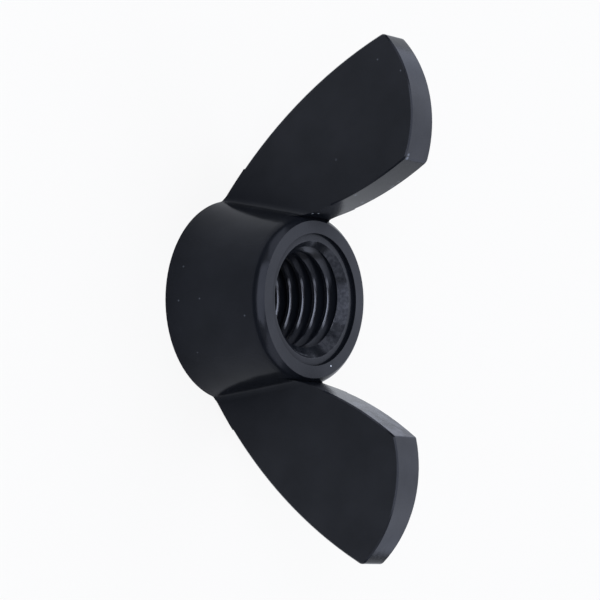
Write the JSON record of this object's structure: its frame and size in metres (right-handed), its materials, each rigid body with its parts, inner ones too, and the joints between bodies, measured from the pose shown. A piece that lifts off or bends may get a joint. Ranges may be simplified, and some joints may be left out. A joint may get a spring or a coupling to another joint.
{
  "type": "spare wheel wing nut",
  "caption": "Black wing nut with a tapered round hub, a recessed threaded mouth and tall fan-shaped wings, turned by hand to clamp a spare wheel on its stud.",
  "frame": {"origin": "centre of the flat bearing face, on the thread axis", "axes": "+Z along the thread axis, from the bearing face to the mouth and the wings; X from wing to wing; Y across the wings' flat faces"},
  "size_m": [0.0548, 0.0216, 0.0247],
  "materials": {
    "wing_nut": "satin bluish black, as moulded"
  },
  "bodies": {
    "root": {"wing_nut": "wing_nut"}
  },
  "joints": []
}
